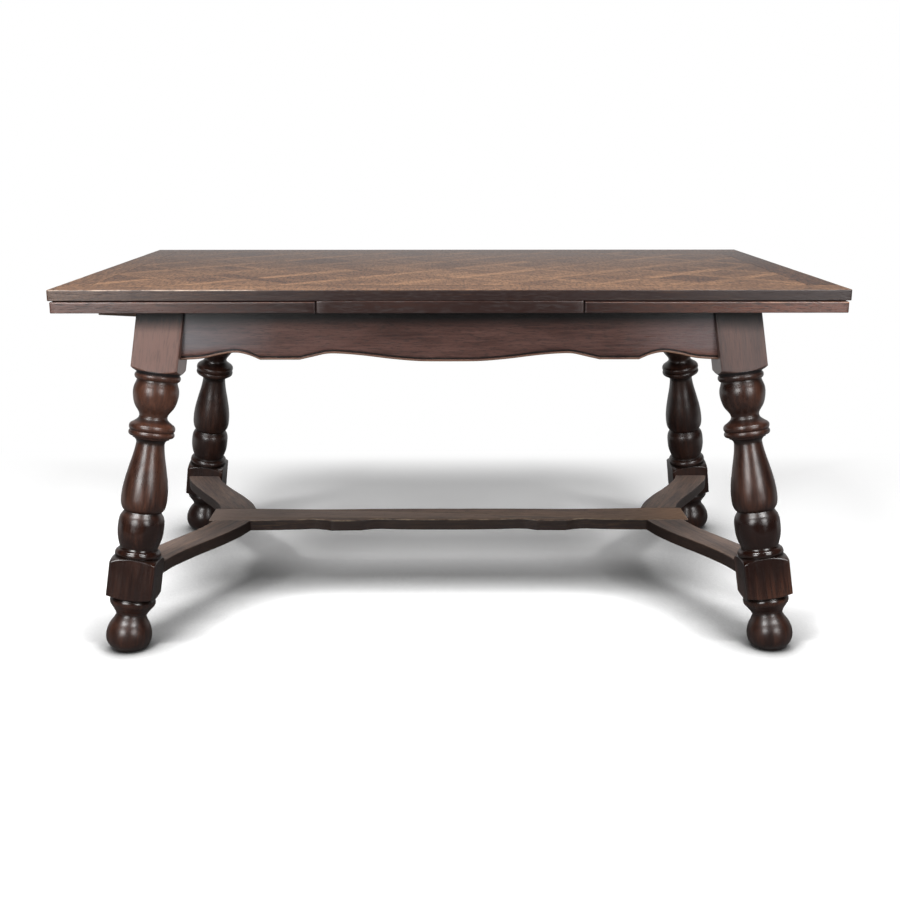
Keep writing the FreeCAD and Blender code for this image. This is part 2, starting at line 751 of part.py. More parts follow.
def build():
    """Makes every piece and writes it."""
    os.makedirs("parts", exist_ok=True)
    front_back = {-1: "front", 1: "back"}
    left_right = {-1: "left", 1: "right"}
    blank = turned_leg()
    for side_y, depth_word in front_back.items():
        save("apron_" + depth_word, apron(side_y))
        for side_x, word in left_right.items():
            save("leg_%s_%s" % (depth_word, word), leg(blank, side_x, side_y))
            save("stretcher_arm_%s_%s" % (depth_word, word), stretcher_arm(side_x, side_y))
            save("loper_%s_%s" % (word, depth_word), loper(side_x, side_y))
    save("stretcher_centre", stretcher_centre())
    save("stretcher_draw_pegs", [draw_peg(a, b, 0) for a in sides for b in sides])
    roots = [root_dowel(x, b, 0, 0) for a in sides for b in sides for x in arm_root_dowels(a)]
    feet = [leg_dowel(x, b, 0, 0) for a in sides for b in sides for x in arm_leg_dowels(a)]
    save("stretcher_root_dowels", roots)
    save("stretcher_leg_dowels", feet)
    save("guide_rail", guide_rail())
    save("guide_rail_dowels", [guide_dowel(y, z, 0) for x, y, z in guide_dowel_places()])
    save("centre_board", centre_board())
    save("centre_board_screws", [board_screw(x, y, 0) for x, y in board_screw_places()])
    save("guide_pegs", [guide_peg(side) for side in sides])
    for name, piece in top_pieces().items():
        save(name, piece)
    for side_x, word in left_right.items():
        save("end_rail_" + word, end_rail(side_x))
        save("loper_stop_pins_" + word, [stop_pin(side_x, side_y, 0) for side_y in sides])
        save("loper_screws_" + word, [upward_screw(x, y, 0) for x, y in loper_screw_places(side_x)])
        for name, piece in leaf_pieces(side_x).items():
            save(name, piece)


build()
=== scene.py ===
"""Old oak draw-leaf dining table: worn edges, turned legs, moulded aprons and the woven parquet.

Metres, in the frame of the solid model: X along the table, Y to the back, Z up.
"""

import bpy
import bmesh
import math
import random
from mathutils import Matrix, Vector, noise


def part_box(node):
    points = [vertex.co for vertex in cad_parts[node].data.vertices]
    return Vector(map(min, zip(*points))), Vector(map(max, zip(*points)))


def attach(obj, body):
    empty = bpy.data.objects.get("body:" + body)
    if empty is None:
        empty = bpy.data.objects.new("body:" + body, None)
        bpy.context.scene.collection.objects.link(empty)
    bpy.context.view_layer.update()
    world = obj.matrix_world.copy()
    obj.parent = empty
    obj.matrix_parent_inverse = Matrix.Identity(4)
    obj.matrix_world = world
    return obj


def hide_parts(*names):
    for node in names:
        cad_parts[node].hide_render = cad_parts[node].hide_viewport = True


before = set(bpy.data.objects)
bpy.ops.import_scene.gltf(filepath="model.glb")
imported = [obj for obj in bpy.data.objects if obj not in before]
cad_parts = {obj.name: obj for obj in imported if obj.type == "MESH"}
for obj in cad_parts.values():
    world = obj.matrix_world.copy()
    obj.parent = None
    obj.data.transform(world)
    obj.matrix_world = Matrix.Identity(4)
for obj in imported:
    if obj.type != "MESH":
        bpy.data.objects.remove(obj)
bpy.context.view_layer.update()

# Sizes shared with the solids
half_length = 0.8
half_depth = 0.5
leaf_reach = 0.796
frame_top = 0.738
leg_stock = 0.098
leg_top_x = 0.601
leg_top_y = 0.336
leg_rake = 0.102
apron_face_y = 0.378
rail_face_x = 0.643
rail_thickness = 0.022
rail_drop = 0.114
apron_half = 0.566
rail_half = 0.318
seat_gap = 0.0003
stretcher_thickness = 0.027
stretcher_top = 0.17
stretcher_half = 0.591
stretcher_end_width = 0.1
arm_outer_x = 0.488
arm_inner_x = 0.578
rail_notch_half = 0.0158
rail_notch_floor = 0.6997
notch_slope = 0.0459
left_notch_y = 0.26
right_notch_y = 0.18

# Parquet: strips woven over and under on the diagonal, squares between them
weave_step = 0.1485
strip_width = 0.034
weave_start = Vector((0.0, -0.07, 0.0))
joint_width = 0.0003
joint_depth = 0.0003
joint_slope = 5
least_block = 0.00001
block_unevenness = 0.00005

# Wear
board_ease = 0.0019
under_ease = 0.0009
stretcher_ease = 0.0022
corner_round = 0.0035
wear_band = 0.0016
edge_waver = 0.00025
corner_wear_share = 1.33
corner_wear_band = 0.0035
change_half = 0.15

# Softened corners and small nicks of a leg
corner_share = 1.395
corner_softness = 0.0022
block_from = 1.02
upright_run = 0.001
nick_depth = 0.0004
nick_turn = 2
nick_rise = 26
neighbour_reach = 0.011
proud_full = 0.003
behind_full = 0.0045

# Painted shade under the leaves, and painted sheen as a pale haze and as lighter places.
# A pair: where it begins and where it is full
shade_line = 0.714
block_shade_from = 0.685
shade_start = 0.3
shade_deep = 0.95
sheen_colour = (0.20, 0.21, 0.23)
block_sheen = 0.15
block_sheen_fade = 0.05
apron_sheen_left = 0.5
apron_sheen_right = 0.34
apron_sheen_fade = 0.045
apron_sheen_x = (0.36, 0.55)
apron_sheen_z = (0.64, 0.652)
apron_pale_sheen_x = (0.36, 0.51)
middle_pale_sheen_x = (0.3, 0.5)
middle_sheen_x = (0.3, 0.45)
low_block_share = 0.255
low_block_reach = (0.13, 0.11)
top_block_shares = (0.79, 0.82)

# Lengths between the points of an outline
outline_step = 0.02
turning_step = 0.0028
ring_step = 0.0017
fillet_step = 0.0022
block_step = 0.008
serpentine_step = 0.005
middle_edge_step = 0.006
arm_edge_step = 0.007
flat_step = 0.01
end_step = 0.012
rail_rows = 5
ease_rows = 4
mesh_touch = 1e-6

# How far a board's grain is moved across it, over how far it is moved along it
side_shift = 0.37

# Marks of the wood, as how many come to a metre along the grain, across it and through it
cloud_size = (3.0, 8.0, 8.0)
broad_size = (3.5, 45.0, 45.0)
medium_size = (12.0, 150.0, 150.0)
fine_size = (20.0, 520.0, 520.0)
ripple_size = (190.0, 34.0, 400.0)
chip_size = (24.0, 60.0, 60.0)

# Camera, solved from the photograph
picture_pixels = 900
focal_pixels = 1213.8
sensor_width = 36.0
camera_place = Vector((-0.0179, -2.9108, 1.0538))
camera_heading = Vector((0.00706, 0.97077, -0.23991))

# Lamps: name, place, aim, width, height and watts
lamps = (
    ("lamp_high_left", (-1.7, -2.1, 3.4), (-1.7, 0.0, 0.3), 1.7, 0.45, 135.0),
    ("lamp_high_right", (1.7, -2.1, 3.4), (1.7, 0.0, 0.3), 1.7, 0.45, 114.0),
    ("lamp_high_back", (0.2, 2.1, 4.0), (0.0, 0.0, 0.3), 1.8, 1.2, 36.0),
    ("window_left", (-2.0, -3.6, 1.8), (-0.3, 0.0, 0.7), 1.5, 1.1, 88.0),
    ("window_right", (2.1, -3.6, 1.8), (0.3, 0.0, 0.7), 1.4, 1.1, 66.0),
    ("panel_left", (-1.65, -3.0, 0.68), (-0.6, 0.0, 0.7), 1.1, 0.5, 13.0),
    ("panel_right", (1.8, -3.0, 0.68), (0.6, 0.0, 0.7), 1.1, 0.5, 9.0))

half_stock = leg_stock / 2
stretcher_under = stretcher_top - stretcher_thickness
stretcher_end_y = stretcher_end_width / 2
rail_bottom = frame_top - rail_drop
strip_long = 2 * weave_step - strip_width
sides = (-1, 1)
long_way = Vector((1, 0, 0))
cross_way = Vector((0, 1, 0))
upward = Vector((0, 0, 1))
draws = random.Random(41)

# Turned outline of a leg from the foot up: (radius over half the stock, height over the leg's
# length). Each run starts where the one before it ends: a smooth curve, a round or straight steps.
leg_turning = (
    # Ball foot
    ("curve", (
        (0.367, -0.0163), (0.653, 0.0), (0.847, 0.0108), (0.959, 0.0244), (0.996, 0.0407),
        (0.963, 0.0583), (0.867, 0.0745), (0.741, 0.0881), (0.669, 0.0976), (0.649, 0.1043))),
    # Foot fillet
    ("steps", ((0.694, 0.1057), (0.704, 0.1111), (0.745, 0.1125))),
    # Foot cove
    ("curve", ((0.816, 0.1192), (0.918, 0.128))),
    # Foot ring
    ("round", ((0.996, 0.1396), (0.939, 0.1511))),
    # Lower block under
    ("steps", ((0.98, 0.1531), (1.469, 0.1633))),
    # Lower block side
    ("steps", ((1.469, 0.2534),)),
    # Lower block shoulder
    ("round", ((1.286, 0.2649), (0.959, 0.2717))),
    # Block ring
    ("round", ((0.996, 0.2825), (0.898, 0.2934))),
    # Block ring fillet
    ("steps", ((0.837, 0.294), (0.816, 0.2995))),
    # Low ball
    ("curve", (
        (0.861, 0.3076), (0.91, 0.3171), (0.965, 0.332), (0.992, 0.3469), (0.996, 0.3604),
        (0.988, 0.3753), (0.939, 0.3889), (0.867, 0.397), (0.816, 0.4024))),
    # Low ball crease
    ("steps", ((0.804, 0.4038),)),
    # Vase
    ("curve", (
        (0.902, 0.4119), (0.965, 0.4228), (0.994, 0.4363), (0.996, 0.4499), (0.984, 0.4648),
        (0.953, 0.4824), (0.91, 0.5), (0.853, 0.5176), (0.792, 0.5366), (0.727, 0.5542),
        (0.671, 0.5718), (0.631, 0.5881), (0.608, 0.6016))),
    # Vase cove
    ("curve", ((0.633, 0.6084), (0.724, 0.6145))),
    # Vase fillet
    ("steps", ((0.786, 0.6159), (0.806, 0.6199), (0.878, 0.6206))),
    # Under ring
    ("round", ((0.994, 0.6294), (0.935, 0.6375))),
    # Upper ring
    ("round", ((0.996, 0.6477), (0.918, 0.6572))),
    # Neck cove
    ("curve", ((0.765, 0.664), (0.643, 0.6714), (0.602, 0.6789))),
    # Bell
    ("curve", (
        (0.637, 0.687), (0.731, 0.6965), (0.82, 0.7046), (0.89, 0.7141), (0.945, 0.7263),
        (0.98, 0.7398), (0.986, 0.7507), (0.963, 0.7615), (0.914, 0.771), (0.878, 0.7778))),
    # Bell fillet
    ("steps", ((0.878, 0.7818), (0.908, 0.7825))),
    # Top ring
    ("round", ((0.99, 0.792), (0.918, 0.8015))),
    # Upper block under
    ("steps", ((0.99, 0.8049), (1.469, 0.8184))),
    # Upper block side
    ("steps", ((1.469, 1.06),)))

# Lower edge of an apron, right half: (distance over its half length, height over its depth)
belly_shares = (
    (0.0, -0.035), (0.117, -0.028), (0.221, 0.016), (0.325, 0.079), (0.405, 0.112),
    (0.458, 0.112), (0.511, 0.055), (0.56, 0.0))
flat_shares = ((0.56, 0.0), (0.707, 0.0))
end_crest_shares = (
    (0.707, 0.0), (0.749, 0.088), (0.795, 0.134), (0.855, 0.096), (0.92, 0.026),
    (1.0, 0.0), (1.12, -0.006))

# Long edges of the stretcher's middle board: (x over its half length, y over its end width)
front_belly_shares = (
    (0.0, 0.47), (0.12, 0.46), (0.205, 0.44), (0.28, 0.40), (0.325, 0.42), (0.367, 0.52))
front_flat_shares = ((0.367, 0.52), (0.486, 0.54))
front_crest_shares = (
    (0.486, 0.54), (0.53, 0.44), (0.565, 0.40), (0.62, 0.43), (0.71, 0.47), (0.826, 0.5))
back_edge_shares = (
    (0.0, 0.47), (0.15, 0.475), (0.3, 0.465), (0.5, 0.43), (0.64, 0.45), (0.826, 0.5))

# Edges of an arm: (x beyond the middle board's end over the leg stock, y over leg_top_y)
arm_outer_shares = (
    (-1.049, 0.15), (-0.911, 0.274), (-0.736, 0.387), (-0.513, 0.512), (-0.145, 0.69),
    (0.145, 0.845), (0.338, 0.967), (0.543, 1.16))
arm_inner_shares = (
    (-0.133, 0.15), (-0.03, 0.25), (0.103, 0.342), (0.277, 0.44), (0.47, 0.539),
    (0.736, 0.679), (0.989, 0.821), (1.206, 0.958), (1.399, 1.16))

# Section of an apron's lower edge: (depth behind the face, height above the edge, wear, dirt and
# shade); the groove above the bead is darker
bead_section = (
    (0.003, 0.0, 0.5, 0.0), (0.0014, 0.0004, 0.9, 0.0), (0.0004, 0.0015, 1.0, 0.0),
    (0.0, 0.003, 1.0, 0.0), (0.0004, 0.0046, 0.7, 0.2), (0.0013, 0.0057, 0.1, 0.8),
    (0.0023, 0.0062, 0.0, 1.0), (0.0023, 0.0074, 0.0, 1.0), (0.0006, 0.0081, 0.2, 0.7),
    (0.0, 0.009, 0.35, 0.1), (0.0, 0.0125, 0.0, 0.0))


class Wire:
    """An output of a finish's nodes, written with as if it were a number."""

    def __init__(self, tree, socket=None):
        self.tree = tree
        self.socket = socket

    def feed(self, node, inputs):
        """Gives the sockets of a node their values or links."""
        for name, value in inputs.items():
            if isinstance(value, Wire):
                self.tree.links.new(value.socket, node.inputs[name])
            else:
                node.inputs[name].default_value = value

    def node(self, kind, settings, inputs, output=0):
        """Adds a node: its settings come first, then the values or links of its sockets."""
        made = self.tree.nodes.new("ShaderNode" + kind)
        for name, value in settings.items():
            setattr(made, name, value)
        self.feed(made, inputs)
        return Wire(self.tree, made.outputs[output])

    def math(self, operation, *values):
        return self.node("Math", {"operation": operation}, dict(enumerate(values)))

    def __add__(self, other):
        return self.math("ADD", self, other)

    __radd__ = __add__

    def __sub__(self, other):
        return self.math("SUBTRACT", self, other)

    def __rsub__(self, other):
        return self.math("SUBTRACT", other, self)

    def __mul__(self, other):
        return self.math("MULTIPLY", self, other)

    __rmul__ = __mul__

    def power(self, exponent):
        return self.math("POWER", self, exponent)

    def most(self, other):
        return self.math("MAXIMUM", self, other)

    def y_part(self):
        """How far back a place vector is."""
        return self.node("SeparateXYZ", {}, {0: self}, 1)

    def ramp(self, low, high):
        """Nought up to low, one from high, smooth between them."""
        settings = {"interpolation_type": "SMOOTHSTEP"}
        return self.node("MapRange", settings, {"Value": self, "From Min": low, "From Max": high})

    def stretched(self, scales):
        """A place vector with each of its axes multiplied."""
        return self.node("VectorMath", {"operation": "MULTIPLY"}, {0: self, 1: scales})

    def mottle(self, detail=3.0, rough=0.6):
        """Smooth noise at this place vector, about a half in the mean."""
        inputs = {"Vector": self, "Scale": 1.0, "Detail": detail, "Roughness": rough}
        return self.node("TexNoise", {}, inputs)

    def into(self, first, second):
        """The first colour where this is nought, the second where it is one."""
        inputs = {0: self, 6: first, 7: second}
        return self.node("Mix", {"data_type": "RGBA"}, inputs, 2)


def colour(red, green, blue):
    return (red, green, blue, 1.0)


def grey(level):
    return colour(level, level, level)


def own_place(wire):
    """A place in the object's own metres."""
    return wire.node("TexCoord", {}, {}, 3)


def close_nodes(wire, kind, result):
    """Links a result to the output node that ends its tree."""
    wire.feed(wire.tree.nodes.new("ShaderNodeOutput" + kind), {"Surface": result})


def new_object(name, data):
    made = bpy.data.objects.new(name, data)
    bpy.context.scene.collection.objects.link(made)
    return made


# Finishes

def new_finish(name):
    """An empty material with its principled shader, and a wire to start its nodes from."""
    finish = bpy.data.materials.new(name)
    finish.use_nodes = True
    tree = finish.node_tree
    shader = tree.nodes["Principled BSDF"]
    shader.distribution = "GGX"
    return finish, shader, Wire(tree)


def attribute(wire, name, output="Fac"):
    """A value kept at the points of the mesh."""
    return wire.node("Attribute", {"attribute_name": name}, {}, output)


def oak(name, dark, light, worn, grime_and_shade, gloss, veil=(1.0, 1.0), streak=1.0, ticks=0.5,
        tick_size=(40.0, 420.0, 420.0), relief=1.0, back_shade=0.0, ripple=0.0, own_grain=True,
        turn=(1.0, 1.0, 1.0)):
    """Stained oak: streaks and short dark pores along the grain.

    The veil is the roughness at a glancing view, in front and at the back of the table. The
    back_shade is how much darker the wood is painted toward the back, a painted shade. The ripple
    is how strong the fine marks across the darker parquet squares are.

    With a grain of its own, a mesh also says at each point how light the wood is (tone, in places
    painted lighter or darker for light and shade), how rubbed (wear), how dark with old dirt and
    painted shade (dirt_and_shade), how dull its polish (dull, or glossier below nought) and how
    strong the painted sheen on it, a pale bluish haze (painted_sheen).
    """
    dark, light, worn, grime_and_shade = (colour(*shade) for shade in (dark, light, worn, grime_and_shade))
    finish, shader, wire = new_finish(name)
    here = own_place(wire)
    if own_grain:
        place = attribute(wire, "grain", "Vector")
        tone, wear, dirt_and_shade, dull, painted_sheen = (
            attribute(wire, layer) for layer in ("tone", "wear", "dirt_and_shade", "dull", "painted_sheen"))
    else:
        place = here.stretched(turn)
        tone = 0.5
    cloud, broad, medium = (
        place.stretched(size).mottle() for size in (cloud_size, broad_size, medium_size))
    fine = place.stretched(fine_size).mottle(2.0)
    pores = place.stretched(tick_size).mottle(3.0, 0.65).ramp(0.47, 0.68)
    behind = here.y_part().ramp(-0.6, 0.7)

    figure = (broad * 0.7 + medium * 0.8 + fine * 0.4 - 0.95) * streak + cloud * 0.7 + 0.15
    figure = figure + (tone - 0.5) * 0.9
    body = figure.ramp(0.06, 0.94).into(dark, light)
    body = (pores * ticks).into(body, grime_and_shade)
    if ripple:
        marks = here.stretched(ripple_size).mottle(2.0, 0.7).ramp(0.42, 0.66)
        body = (marks * (1.15 - tone) * ripple).into(body, grime_and_shade)
    # Painted shade: the wood is painted darker toward the back of the table
    body = (behind * back_shade).into(body, grime_and_shade)
    rough = gloss + (0.5 - figure) * 0.05 + (cloud - 0.5) * 0.16 + (fine - 0.5) * 0.14
    if own_grain:
        # Old dirt in the joints, darker edges and recesses, and painted shade under the leaves
        dirt_and_shade_mix = dirt_and_shade * (0.42 + (medium + fine) * 0.65)
        body = dirt_and_shade_mix.into(body, grime_and_shade)
        chips = place.stretched(chip_size).mottle(4.0, 0.75)
        rubbed = (wear * 1.1 + chips * 1.1 - 1.3).ramp(0.0, 0.35)
        body = (rubbed * 0.75).into(body, worn)
        # Painted sheen: a pale bluish haze mixed into the colour
        body = (painted_sheen * (0.5 + cloud)).into(body, colour(*sheen_colour))
        rough = rough + rubbed * 0.12 + dirt_and_shade * 0.05 + dull * 0.22

    slant = wire.node("LayerWeight", {}, {"Blend": 0.5}, 1).ramp(0.3, 0.75)
    glancing = veil[0] + (veil[1] - veil[0]) * behind
    rough = rough + slant * (glancing - rough) + pores * (0.15 * ticks)
    height = fine * 0.4 - pores * 0.6 + medium * 0.3
    bump = wire.node("Bump", {}, {"Strength": 0.3 * relief, "Distance": 0.0004, "Height": height})
    wire.feed(shader, {"Base Color": body, "Roughness": rough, "Normal": bump})
    return finish


def brushed_steel():
    """Dull screw steel, brushed round."""
    finish, shader, wire = new_finish("screw_steel")
    brush = own_place(wire).stretched((900.0, 900.0, 120.0)).mottle(2.0, 0.55)
    body = brush.into(colour(0.33, 0.32, 0.31), colour(0.52, 0.51, 0.5))
    wire.feed(shader, {"Base Color": body, "Metallic": 1.0, "Roughness": brush * 0.25 + 0.3})
    return finish


# Mesh making

def finished_piece(
        node, finish, points, faces, layers, body="frame", crisp=35.0):
    """The finished mesh of a solid, with the values that its finish reads at each point."""
    name = node + "_finished"
    mesh = bpy.data.meshes.new(name)
    mesh.from_pydata([tuple(p) for p in points], [], faces)
    for layer, values in layers.items():
        if layer == "grain":
            made = mesh.attributes.new(layer, "FLOAT_VECTOR", "POINT")
            made.data.foreach_set("vector", [c for v in values for c in v])
        else:
            made = mesh.attributes.new(layer, "FLOAT", "POINT")
            made.data.foreach_set("value", list(values))
    mesh.materials.append(finish)
    mesh.polygons.foreach_set("use_smooth", [True] * len(mesh.polygons))
    mesh.set_sharp_from_angle(angle=math.radians(crisp))
    mesh.update()
    piece = new_object(name, mesh)
    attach(piece, body)
    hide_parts(node)


def between_rows(rows):
    """Faces between neighbouring closed rows of corners."""
    return [
        (low[i - 1], low[i], high[i], high[i - 1])
        for low, high in zip(rows, rows[1:]) for i in [*range(1, len(low)), 0]]


def index_rows(first, end, count):
    """Rows of as many corners, by their numbers from the first to the end."""
    return [range(start, start + count) for start in range(first, end, count)]


def cut_solid(points, faces, planes, values=()):
    """A solid cut by planes (place, outward) and closed: its points, faces and their values."""
    mesh = bmesh.new()
    marks = [mesh.verts.layers.float.new(str(k)) for k in range(len(values))]
    made = [mesh.verts.new(p) for p in points]
    for mark, column in zip(marks, values):
        for vertex, value in zip(made, column):
            vertex[mark] = value
    for face in faces:
        mesh.faces.new([made[i] for i in face])
    bmesh.ops.remove_doubles(mesh, verts=mesh.verts[:], dist=mesh_touch)
    for place, outward in planes:
        geometry = mesh.verts[:] + mesh.edges[:] + mesh.faces[:]
        bmesh.ops.bisect_plane(
            mesh, geom=geometry, dist=mesh_touch, plane_co=place, plane_no=outward,
            clear_outer=True)
    rims = [e for e in mesh.edges if e.is_boundary]
    bmesh.ops.holes_fill(mesh, edges=rims, sides=0)
    bmesh.ops.recalc_face_normals(mesh, faces=mesh.faces[:])
    mesh.verts.index_update()
    points = [v.co.copy() for v in mesh.verts]
    faces = [tuple(v.index for v in f.verts) for f in mesh.faces]
    values = [[v[mark] for v in mesh.verts] for mark in mesh.verts.layers.float.values()]
    mesh.free()
    return points, faces, *values


def grain_places(points, along, shift):
    """Each point as (along the grain, across it, through it), moved so that no boards match."""
    along = along.normalized()
    across = upward.cross(along).normalized()
    through = along.cross(across)
    return [
        (p.dot(along) + shift, p.dot(across) + side_shift * shift, p.dot(through))
        for p in points]


def part_way(value, low, high):
    """How far a value has come from low to high, from nought to one."""
    return min(max((value - low) / (high - low), 0.0), 1.0)


def board_tone(spread):
    return 0.5 + draws.uniform(-spread, spread)


def waver(p):
    """A small seeded unevenness at a place."""
    return noise.noise(p * 11.0) * edge_waver


def smooth_line(points, step):
    """Points along a smooth curve through the given ones."""
    line = []
    count = len(points)
    for i in range(count - 1):
        before = points[max(i - 1, 0)]
        start, end = points[i], points[i + 1]
        after = points[min(i + 2, count - 1)]
        span = (end - start).length
        pull_in = (end - before) * (span / max((end - before).length, span)) * 0.98
        pull_out = (after - start) * (span / max((after - start).length, span)) * 0.98
        if i == 0:
            pull_in = end - start
        if i == count - 2:
            pull_out = end - start
        parts = max(2, math.ceil(span / step))
        for k in range(parts):
            t = k / parts
            line.append(
                start * (2 * t ** 3 - 3 * t ** 2 + 1) + pull_in * (t ** 3 - 2 * t ** 2 + t)
                + end * (3 * t ** 2 - 2 * t ** 3) + pull_out * (t ** 3 - t ** 2))
    line.append(points[-1].copy())
    return line


def straight_line(points, step):
    """Points along straight runs between the given ones."""
    line = []
    for start, end in zip(points, points[1:]):
        parts = max(1, math.ceil((end - start).length / step))
        line.extend(start.lerp(end, k / parts) for k in range(parts))
    line.append(points[-1].copy())
    return line


def arc_line(points, step):
    """Points along the circle through three points of a plane (x, y)."""
    a, b, c = points
    twice = 2 * ((b - a).x * (c - a).y - (b - a).y * (c - a).x)
    ab = (b - a).length_squared
    ac = (c - a).length_squared
    centre = a + Vector((
        ((c - a).y * ab - (b - a).y * ac) / twice,
        ((b - a).x * ac - (c - a).x * ab) / twice, 0))
    radius = (a - centre).length
    turns = [math.atan2(p.y - centre.y, p.x - centre.x) for p in (a, b, c)]
    for k in (1, 2):
        while turns[k] - turns[k - 1] > math.pi:
            turns[k] -= math.tau
        while turns[k - 1] - turns[k] > math.pi:
            turns[k] += math.tau
    sweep = turns[2] - turns[0]
    parts = max(4, math.ceil(abs(sweep) * radius / step))
    angles = [turns[0] + sweep * k / parts for k in range(parts + 1)]
    return circle_points(centre, radius, angles)


def joined(runs):
    """One line through runs that each start where the one before ends."""
    line = list(runs[0])
    for run in runs[1:]:
        line.extend(run[1:])
    return line


def circle_points(centre, radius, angles):
    return [centre + Vector((math.cos(a), math.sin(a), 0)) * radius for a in angles]


def rounded_rectangle(low, high):
    """A board's outline with softened corners."""
    turns = []
    for index, (sx, sy) in enumerate(((1, 1), (-1, 1), (-1, -1), (1, -1))):
        middle = Vector((high.x if sx > 0 else low.x, high.y if sy > 0 else low.y, 0))
        middle -= Vector((sx * corner_round, sy * corner_round, 0))
        angles = [math.radians(90 * index + 90 * k / 4) for k in range(5)]
        turns.append(circle_points(middle, corner_round, angles))
    outline = []
    for turn, following in zip(turns, turns[1:] + turns[:1]):
        outline.extend(turn + straight_line([turn[-1], following[0]], outline_step)[1:-1])
    return outline


def outward_normals(outline):
    """Mitred outward directions at the points of a closed outline that turns left."""
    normals = []
    count = len(outline)
    for i, p in enumerate(outline):
        back = (p - outline[i - 1]).normalized()
        ahead = (outline[(i + 1) % count] - p).normalized()
        first = Vector((back.y, -back.x, 0))
        second = Vector((ahead.y, -ahead.x, 0))
        middle = first + second
        if middle.length < 0.2:
            middle = first
        middle.normalize()
        normals.append(middle / max(middle.dot(first), 0.5))
    return normals


def eased_board(outline, shown, low, high, ease):
    """A flat board with rounded, uneven arrises: points, faces, wear and how far up its edge.

    Shown says at each point of the outline how worn the upper arris is there.
    """
    normals = outward_normals(outline)
    # Rings up the edge: (height, inset, wear, how far up the arris)
    rings = [
        (low, under_ease, 0.2, 0.0), (low + under_ease, 0.0, 0.35, 0.0),
        (low + under_ease + wear_band, 0.0, 0.0, 0.0), (high - ease - wear_band, 0.0, 0.0, 0.0)]
    for k in range(ease_rows + 1):
        turn = math.pi / 2 * k / ease_rows
        rings.append((
            high - ease * (1 - math.sin(turn)), ease * (1 - math.cos(turn)), 1.0, k / ease_rows))
    rings.append((high, ease + wear_band, 0.0, 1.0))
    points = []
    wear = []
    rise = []
    for z, inset, worn, up in rings:
        for p, n, share in zip(outline, normals, shown):
            place = Vector((p.x, p.y, z))
            spread = 1 + 0.5 * noise.noise(place * 23.0)
            points.append(place - n * (inset * spread + edge_waver + waver(place)))
            wear.append(worn * share)
            rise.append(up)
    rows = index_rows(0, len(points), len(outline))
    faces = between_rows(rows) + [tuple(reversed(rows[0])), tuple(rows[-1])]
    return points, faces, wear, rise


def dressed_board(node, body, finish, along, tone, edge_dark, rubbing, reach):
    """A rectangular board in the place of its solid, worn where its arrises are the table's own.

    The edge_dark says how dark its edges are at the low end, how dark farther on and from what
    share of its length; where an end is lighter, that is a painted sheen. The rubbing says how
    worn the arrises are at the table's left, how worn at its right and the x between the two.
    """
    low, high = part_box(node)
    length = (high - low).dot(along)
    outline = rounded_rectangle(low, high)
    left, right, change = rubbing
    shown = []
    for p in outline:
        outer = reach - abs(p.x) < corner_round or half_depth - abs(p.y) < corner_round
        over = part_way(p.x, change - change_half, change + change_half)
        shown.append(left + (right - left) * over if outer else 0.0)
    points, faces, wear, rise = eased_board(outline, shown, low.z, high.z, board_ease)
    start, end, full = edge_dark
    # Edges darker below the arris; a lighter end of an edge is a painted sheen
    darkness = [
        start + (end - start) * min((p - low).dot(along) / length / full, 1.0) for p in points]
    layers = {
        "grain": grain_places(points, along, draws.uniform(1.0, 9.0)),
        "tone": [tone] * len(points),
        "wear": wear,
        "dirt_and_shade": [(1 - up) * dark for up, dark in zip(rise, darkness)]}
    finished_piece(node, finish, points, faces, layers, body)


def clipped(polygon, low, high):
    """A convex polygon cut to a rectangle."""
    bounds = ((0, 1, low.x), (0, -1, high.x), (1, 1, low.y), (1, -1, high.y))
    for axis, sign, limit in bounds:
        kept = []
        for i, p in enumerate(polygon):
            q = polygon[(i + 1) % len(polygon)]
            inside_p = sign * (p[axis] - limit) >= 0
            inside_q = sign * (q[axis] - limit) >= 0
            if inside_p:
                kept.append(p)
            if inside_p != inside_q:
                share = (limit - p[axis]) / (q[axis] - p[axis])
                kept.append(p.lerp(q, share))
        polygon = kept
        if len(polygon) < 3:
            return []
    return polygon


def signed_area(outline):
    """The area in an outline, negative where it turns right."""
    return sum(p.x * q.y - q.x * p.y for p, q in zip(outline, outline[1:] + outline[:1])) / 2


def weave_blocks(low, high):
    """Blocks of the woven parquet inside a rectangle: outline, grain direction and kind."""
    rising = Vector((1, 1, 0)).normalized()
    falling = Vector((-1, 1, 0)).normalized()
    reach = math.ceil((high - low).length / weave_step)
    blocks = []

    def add(middle, along, half_long, half_wide, kind):
        across = Vector((-along.y, along.x, 0))
        corners = [
            middle + along * (a * half_long) + across * (b * half_wide)
            for a, b in ((-1, -1), (1, -1), (1, 1), (-1, 1))]
        polygon = clipped(corners, low, high)
        if polygon and abs(signed_area(polygon)) > least_block:
            blocks.append((polygon, along, kind))

    for m in range(-reach, reach + 1):
        for n in range(-reach, reach + 1):
            crossing = weave_start + rising * (weave_step * m) + falling * (weave_step * n)
            over, under, kind = (
                (rising, falling, "rising") if (m + n) % 2 else (falling, rising, "falling"))
            add(crossing, over, strip_long / 2, strip_width / 2, kind)
            field = crossing + (rising + falling) * (weave_step / 2)
            half = (weave_step - strip_width) / 2
            add(field, under, half, half, "square")
    return blocks


def block_tone(kind, middle):
    """How light a block is: strips lighter than squares. Painted light: the front middle blocks
    are lighter, a pool of light, and the falling strips lighter toward the right, a sheen.
    """
    # Painted light: the blocks in the front middle are painted lighter
    worn = 0.1 * part_way(abs(middle.x), 0.5, 0.0) * (middle.y < 0.0)
    if kind == "square":
        return 0.4 + worn + draws.uniform(-0.09, 0.09)
    if kind == "rising":
        return 0.66 + worn + draws.uniform(-0.14, 0.1)
    # Painted sheen: the falling strips are painted lighter toward the right
    return 0.42 + worn + 0.18 * part_way(middle.x, -0.15, 0.45) + draws.uniform(-0.1, 0.1)


